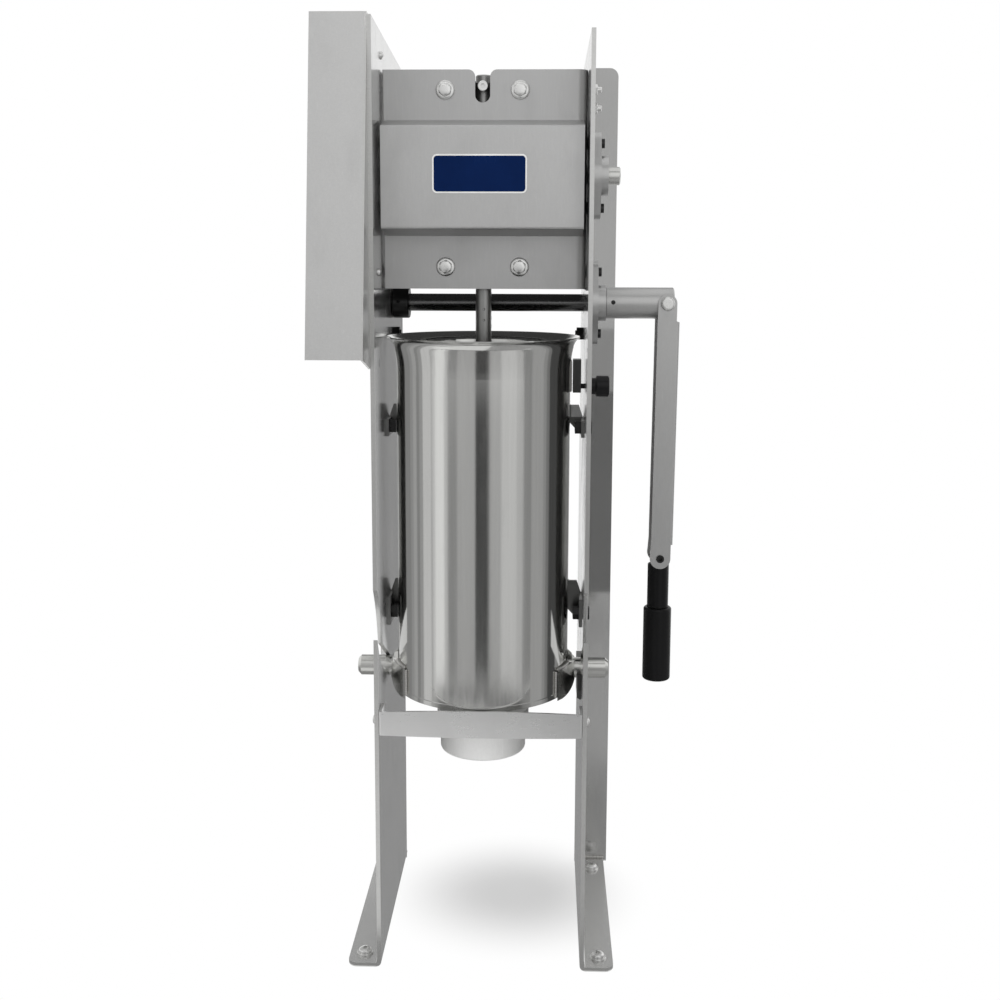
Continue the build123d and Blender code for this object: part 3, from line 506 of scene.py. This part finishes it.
# button screws through the plates with hexagon sockets; washer, nut and bolt end on the right plate
plateScrew = {
    "spots": [  # place, facing, radius
        ((-99.0, -76.0, 248.5), toLeft, 4.6),
        ((102.5, -76.0, 248.5), toRight, 4.6),
        ((-95.0, -23.0, 872.0), toRight, 3.7),
        ((-95.0, -50.4, 672.9), toRight, 3.5),
    ],
    "rise": 3.2, "riseShare": 0.62, "sides": 36, "socket": (1.5, 1.6),
    "dome": [(1, 0), (1, 0.3), (0.93, 0.62), (0.76, 0.88), (0.52, 1)],  # shares of the radius and the rise
}
plateNut = {
    "places": [(102.5, -6.0, 843.0), (102.5, -6.0, 826.0)],
    "facing": toRight,
    "profiles": [
        ([(6.0, 0.02), (6.0, 1.0), (5.6, 1.2)], 36, None),
        ([(hexReach(4.4), 1.1), (hexReach(4.4), 4.6), (4.0, 5.0)], 36, None),
        ([(2.7, 4.9), (2.7, 8.4), (2.1, 9.0)], 24, None),
    ],
}
bm = bmesh.new()
for place, direction, radius in plateScrew["spots"]:
    rise = min(plateScrew["rise"], radius * plateScrew["riseShare"])
    dome = [(radius * share, rise * level) for share, level in plateScrew["dome"]]
    turned(bm, dome, place, direction, plateScrew["sides"], plateScrew["socket"])
turnedRow(bm, plateNut)
screws = asPiece("plateScrewHeads", bm, "brightZinc", "frame")
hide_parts("plate_screws")

# foot bolts: button heads on washers
footBolt = {
    "places": [(-113.5, -69.0, 4.0), (-113.5, 117.0, 4.0), (117.0, -69.0, 4.0), (117.0, 117.0, 4.0)],
    "facing": toTop,
    "profiles": [
        ([(8.0, 0.02), (8.0, 1.3), (7.7, 1.6), (4.6, 1.6)], 40, None),
        ([(6.5, 1.5), (6.6, 2.3), (6.2, 3.8), (5.2, 4.8), (3.6, 5.2)], 40, (2.4, 2.4)),
        ([(3.9, -3.6), (3.9, 0.2)], 24, None),
    ],
}
bm = bmesh.new()
turnedRow(bm, footBolt)
footHeads = asPiece("footBoltHeads", bm, "brightZinc", "frame")
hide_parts("foot_bolts")

# set screws of the hub and collar, dimples in the rack bar, a spare hole in the left plate; the collar screw, the
# dimples and the hole are near-black painted shade
hubScrew = {
    "places": [(128.0, 44.9, 643.0)],
    "facing": toFront,
    "profiles": [([(2.15, -4.0), (2.15, -0.2), (1.9, 0.0)], 30, (1.1, 1.4))],
}
bm = bmesh.new()
turnedRow(bm, hubScrew)
asPiece("hubSetScrew", bm, "blackenedSteel", "crank")
collarScrew = {
    "places": [(-88.5, 44.6, 643.0)],
    "facing": toFront,
    "profiles": [([(1.75, -4.0), (1.75, -0.2), (1.5, 0.0)], 30, (0.9, 1.4))],
}
bm = bmesh.new()
turnedRow(bm, collarScrew)
asPiece("collarSetScrew", bm, "paintedShadeBlack", "crank")
dimple = {
    "places": [(0.6, -7.6, 637.5), (0.6, -7.6, 627.0)],
    "facing": toFront,
    "profiles": [([(1.35, -0.6), (1.35, -0.08), (0.9, 0.03), (0.5, -0.3)], 24, None)],
}
bm = bmesh.new()
turnedRow(bm, dimple)
asPiece("barDimples", bm, "paintedShadeBlack", "rack")
spareHole = {
    "places": [(-95.0, -53.7, 588.5)],
    "facing": toRight,
    "profiles": [([(3.4, -0.3), (3.4, 0.05), (3.0, 0.08), (2.8, -0.2)], 30, None)],
}
bm = bmesh.new()
turnedRow(bm, spareHole)
asPiece("plateSpareHole", bm, "paintedShadeBlack", "frame")
print("bolts and screws set")


# weld beads: rippled rod laid along a joint
bead = {
    "pitch": 1.9, "sides": 10, "stepsPerPitch": 4, "fewestSteps": 6, "sharp": 80,
    "ripple": 0.16, "waver": 0.07, "waverRate": 1.7, "tip": 0.35, "swell": 1.3,
}


def weldBead(name, points, radius):
    path = [at(*point) for point in points]
    lengths = [0.0]
    for low, high in zip(path, path[1:]):
        lengths.append(lengths[-1] + (high - low).length)
    pitch, sides = bead["pitch"], bead["sides"]
    count = max(bead["fewestSteps"], int(lengths[-1] * 1000 / (pitch / bead["stepsPerPitch"])))
    bm = bmesh.new()
    rings = []
    for step in range(count + 1):
        along = lengths[-1] * step / count
        part = max(i for i in range(len(path) - 1) if lengths[i] <= along + 1e-9)
        share = (along - lengths[part]) / max(1e-9, lengths[part + 1] - lengths[part])
        centre = path[part].lerp(path[part + 1], share)
        line = (path[part + 1] - path[part]).normalized()
        across = line.orthogonal().normalized()
        over = line.cross(across)
        ripple = bead["ripple"] * math.sin(2 * math.pi * along * 1000 / pitch)
        waver = bead["waver"] * math.sin(along * 1000 * bead["waverRate"] + radius)
        fromEnd = min(along, lengths[-1] - along) * 1000
        ends = min(1.0, bead["tip"] + bead["swell"] * fromEnd / radius / 2)
        size = radius * (1 + ripple + waver) * ends / 1000
        loop = []
        for side in range(sides):
            angle = 2 * math.pi * side / sides
            loop.append(bm.verts.new(centre + (across * math.cos(angle) + over * math.sin(angle)) * size))
        rings.append(loop)
    skin(bm, rings)
    asPiece(name, bm, "weldSteel", "frame", bead["sharp"])


saddleWeld = {
    "reach": 86.0, "sweep": 30, "arcSteps": 24, "top": 291.0, "fall": 4, "fallFrom": 60, "fallLength": 32.4, "size": 1.7,
    "corner": (73.2, 45.2), "cornerLow": 261.5, "cornerHigh": 288.0, "cornerSize": 1.3,
}
for side, label in ((-1, "Left"), (1, "Right")):
    arc = []
    for step in range(saddleWeld["arcSteps"] + 1):
        angle = math.radians(-saddleWeld["sweep"] + 2 * saddleWeld["sweep"] * step / saddleWeld["arcSteps"])
        x = saddleWeld["reach"] * math.cos(angle)
        drop = saddleWeld["fall"] * (x - saddleWeld["fallFrom"]) / saddleWeld["fallLength"]
        arc.append((side * x, saddleWeld["reach"] * math.sin(angle), saddleWeld["top"] - drop))
    weldBead("saddleWeldTop" + label, arc, saddleWeld["size"])
    for end, place in ((-1, "Front"), (1, "Back")):
        x, y = side * saddleWeld["corner"][0], end * saddleWeld["corner"][1]
        line = [(x, y, saddleWeld["cornerLow"]), (x, y, saddleWeld["cornerHigh"])]
        weldBead("saddleWeld" + place + label, line, saddleWeld["cornerSize"])
lugWeld = {"x": 85.3, "y": 8.3, "low": 558.0, "high": 588.5, "size": 1.1}
for side, label in ((-1, "Front"), (1, "Back")):
    x, y = lugWeld["x"], side * lugWeld["y"]
    weldBead("lugWeld" + label, [(x, y, lugWeld["low"]), (x, y, lugWeld["high"])], lugWeld["size"])
footWeld = {"right": (107, 132), "left": (-103, -120), "back": 143.2, "height": 4.9, "size": 1.8}


def footLine(span):
    return [(x, footWeld["back"], footWeld["height"]) for x in span]


weldBead("footWeldRight", footLine(footWeld["right"]), footWeld["size"])
weldBead("footWeldLeft", footLine(footWeld["left"]), footWeld["size"])
print("weld beads laid")


# floor and light
stageSetup = {"skyLight": 0.85, "floorTone": 0.93, "floorReach": 6000, "rampTop": 1500}
softBoxes = {  # place, what it faces, size in metres, watts
    "keyBox": ((-900, -1500, 1700), (0, 0, 500), (1.2, 1.2), 5.0),
    "fillBox": ((1500, -900, 1200), (0, 0, 450), (1.0, 1.4), 2.5),
}
world = bpy.data.worlds.new("paleRoom")
bpy.context.scene.world = world
world.use_nodes = True
room = Bench(world.node_tree)
rayNames = ("Is Camera Ray", "Is Glossy Ray", "Is Transmission Ray")


def seenRay(bench):  # 1 where the background itself is looked at or mirrored
    camera, glossy, through = [bench.node("LightPath", output=name) for name in rayNames]
    pair = bench.node("Math", {"operation": "MAXIMUM"}, {0: camera, 1: glossy})
    return bench.node("Math", {"operation": "MAXIMUM"}, {0: pair, 1: through})


plainSky = room.node("Background", None, {"Color": (1, 1, 1, 1), "Strength": stageSetup["skyLight"]})
whiteSky = room.node("Background", None, {"Color": (1, 1, 1, 1), "Strength": 1.0})
pickSky = room.node("MixShader", None, {0: seenRay(room), 1: plainSky, 2: whiteSky})
room.node("OutputWorld", None, {"Surface": pickSky})


def stagePiece(name, points, faces, material):
    mesh = bpy.data.meshes.new(name)
    mesh.from_pydata([at(*point) for point in points], [], faces)
    mesh.materials.append(material)
    made = bpy.data.objects.new(name, mesh)
    bpy.context.scene.collection.objects.link(made)
    return made


def level(near, far, height):  # a lying card between two corners
    (x, y), (farX, farY) = near, far
    return [(x, y, height), (farX, y, height), (farX, farY, height), (x, farY, height)]


def upright(start, stop, low, high):  # a standing card between two lines
    return [(*start, low), (*stop, low), (*stop, high), (*start, high)]


shadowPatch = {"middle": (32.0, 66.0), "from": 0.02, "to": 0.15, "lift": 0.3}
benchMix = Finish("benchWhite")
middle = tuple(at(*shadowPatch["middle"], 0))
away = benchMix.node("VectorMath", {"operation": "SUBTRACT"}, {0: benchMix.spot, 1: middle})
reach = benchMix.node("VectorMath", {"operation": "LENGTH"}, {0: away}, "Value")
fadeRange = {"Value": reach, "From Min": shadowPatch["from"], "From Max": shadowPatch["to"]}
fade = benchMix.node("MapRange", {"interpolation_type": "SMOOTHSTEP"}, fadeRange)
paint = benchMix.node("BsdfDiffuse", None, {"Color": (stageSetup["floorTone"],) * 3 + (1,)})
glow = benchMix.node("Emission", None, {"Color": (1, 1, 1, 1), "Strength": 1.0})
cover = (fade * (1 - shadowPatch["lift"]) + shadowPatch["lift"]) * seenRay(benchMix)
benchMix.end(benchMix.node("MixShader", None, {0: cover, 1: paint, 2: glow}))
far = stageSetup["floorReach"]
stagePiece("bench", level((-far, -far), (far, far), 0), [(0, 1, 2, 3)], benchMix.material)

for name, (place, target, size, power) in softBoxes.items():
    lamp = bpy.data.lights.new(name, "AREA")
    lamp.shape = "RECTANGLE"
    lamp.size, lamp.size_y = size
    lamp.energy = power
    made = bpy.data.objects.new(name, lamp)
    made.location = at(*place)
    made.rotation_euler = (at(*target) - at(*place)).to_track_quat("-Z", "Y").to_euler()
    bpy.context.scene.collection.objects.link(made)


def flag(name, points, faces, tones):  # seen only in polished metal; tones are (height in mm, level)
    mix = Finish(name)
    top = stageSetup["rampTop"]
    shade = mix.ramp(mix.along(2) * (1000 / top), [(height / top, tone) for height, tone in tones])
    material = mix.end(mix.node("Emission", None, {"Color": shade, "Strength": 1.0}))
    made = stagePiece(name, points, faces, material)
    for way in ("camera", "diffuse", "shadow", "transmission", "volume_scatter"):
        setattr(made, "visible_" + way, False)


flagRing = {"radius": 850.0, "low": 4.0, "high": 1400.0, "degreesPerFace": 4}
flags = {  # compass span in degrees from straight in front, then levels by height
    "flagLeftF": (-96, -70, [(0, 0.66), (1500, 0.74)]),
    "flagLeftE": (-70, -64, [(0, 0.52), (1500, 0.62)]),
    "flagLeftD": (-64, -60, [(0, 0.74), (1500, 0.8)]),
    "flagLeftC": (-47, -42, [(0, 0.66), (1500, 0.74)]),
    "flagLeftB": (-42, -30, [(0, 0.33), (400, 0.36), (700, 0.62), (900, 0.7)]),
    "flagLeftA": (-30, -7, [(0, 0.48), (400, 0.54), (700, 0.62), (900, 0.72)]),
    "flagLens": (-7, 8.5, [(0, 0.1), (450, 0.07), (620, 0.6), (850, 0.86)]),
    "flagRightA": (8.5, 10.5, [(0, 0.3), (200, 0.24), (450, 0.32), (620, 0.74), (850, 1.0)]),
    "flagRightB": (10.5, 25, [(0, 0.5), (450, 0.56), (650, 0.85), (850, 1.0)]),
    "flagRightC": (25, 45, [(0, 0.7), (450, 0.74), (700, 0.9), (900, 1.0)]),
    "flagRightD": (45, 54, [(0, 0.6), (450, 0.62), (700, 0.8), (900, 0.9)]),
    "flagRightE": (54, 67, [(0, 0.32), (1500, 0.38)]),
    "flagFarRight": (67, 96, [(0, 0.42), (1500, 0.5)]),
}
lensArches = {  # seen low in the tank's wall: radius, height, level
    "span": (-85, 66), "low": 0.5, "archDark": (836.0, 27.0, 0.12), "archRim": (841.0, 34.0, 0.85),
}


def ringFlag(name, radius, span, low, high, tones, arched=False):
    start, stop = span
    count = max(2, int((stop - start) / flagRing["degreesPerFace"]))
    points = []
    for step in range(count + 1):
        share = step / count
        angle = math.radians(start + (stop - start) * share)
        x, y = radius * math.sin(angle), -radius * math.cos(angle)
        top = low + (high - low) * 4 * share * (1 - share) if arched else high
        points += [(x, y, low), (x, y, top)]
    faces = [(2 * step, 2 * step + 2, 2 * step + 3, 2 * step + 1) for step in range(count)]
    flag(name, points, faces, tones)


for name, (start, stop, tones) in flags.items():
    ringFlag(name, flagRing["radius"], (start, stop), flagRing["low"], flagRing["high"], tones)
for name in ("archDark", "archRim"):
    radius, rise, tone = lensArches[name]
    ringFlag(name, radius, lensArches["span"], lensArches["low"], rise, [(0, tone), (1500, tone)], True)

flatFlags = {  # corners in mm from the tank axis, level
    "floorFlag": (level((-1500, -150), (1500, 700), 1), 0.32),
    "floorLens": (
        [
            (-640, -480, 2), (-500, -620, 2), (-230, -770, 2), (0, -803, 2), (230, -770, 2), (500, -620, 2),
            (560, -620, 2), (250, -800, 2), (0, -836, 2), (-250, -800, 2), (-520, -655, 2), (-680, -480, 2),
        ],
        0.14,
    ),
    "floorFront": (level((-400, -850), (78, -150), 1), 0.9),
    "floorFrontRight": (level((78, -850), (700, -150), 1), 0.42),
    "ceilingLight": (level((-500, -450), (500, 900), 1590), 0.9),
    "ceilingFlag": (level((-3000, -900), (900, 3500), 1600), 0.45),
    "backFlag": (upright((-150, 400), (40, 400), 80, 640), 0.3),
    "slotLightLeft": ([(-91.3, -33, 309), (-91.3, 0, 284), (-91.3, 0, 296), (-91.3, -33, 345)], 0.75),
    "slotLightRight": ([(94.8, -43, 307), (94.8, -21, 281), (94.8, -21, 286), (94.8, -43, 344)], 0.75),
    "mouthFlag": (level((-94, -10), (97, 146), 655.5), 0.05),
}
tankStrips = {"low": 238, "high": 603}  # upright strips just inside the plates
stripEdges = {  # x, then front edge, back edge and level of each strip
    "stripLeft": (-91.5, [
        (-88, -70, 0.74), (-70, -63, 0.42), (-63, -57, 0.32), (-57, -50, 0.48), (-50, -44, 0.38), (-44, -32, 0.3),
    ]),
    "stripRight": (95.0, [(-88, -62, 0.45), (-62, -56, 0.36), (-56, -50, 0.24), (-50, -34, 0.08)]),
}
for side, (x, strips) in stripEdges.items():
    for front, back, tone in strips:
        corners = upright((x, front), (x, back), tankStrips["low"], tankStrips["high"])
        flatFlags[side + str(-back)] = (corners, tone)
wingStrip = {  # in front of the right wing: low edge, high edge and level of each strip
    "left": (104, 112), "right": (150, 112), "strips": [(310, 540, 0.14), (540, 610, 0.33), (610, 900, 0.52)],
}
for low, high, tone in wingStrip["strips"]:
    flatFlags["wingStrip" + str(low)] = (upright(wingStrip["left"], wingStrip["right"], low, high), tone)
for name, (corners, tone) in flatFlags.items():
    flag(name, corners, [tuple(range(len(corners)))], [(0, tone), (1500, tone)])
print("stage set")
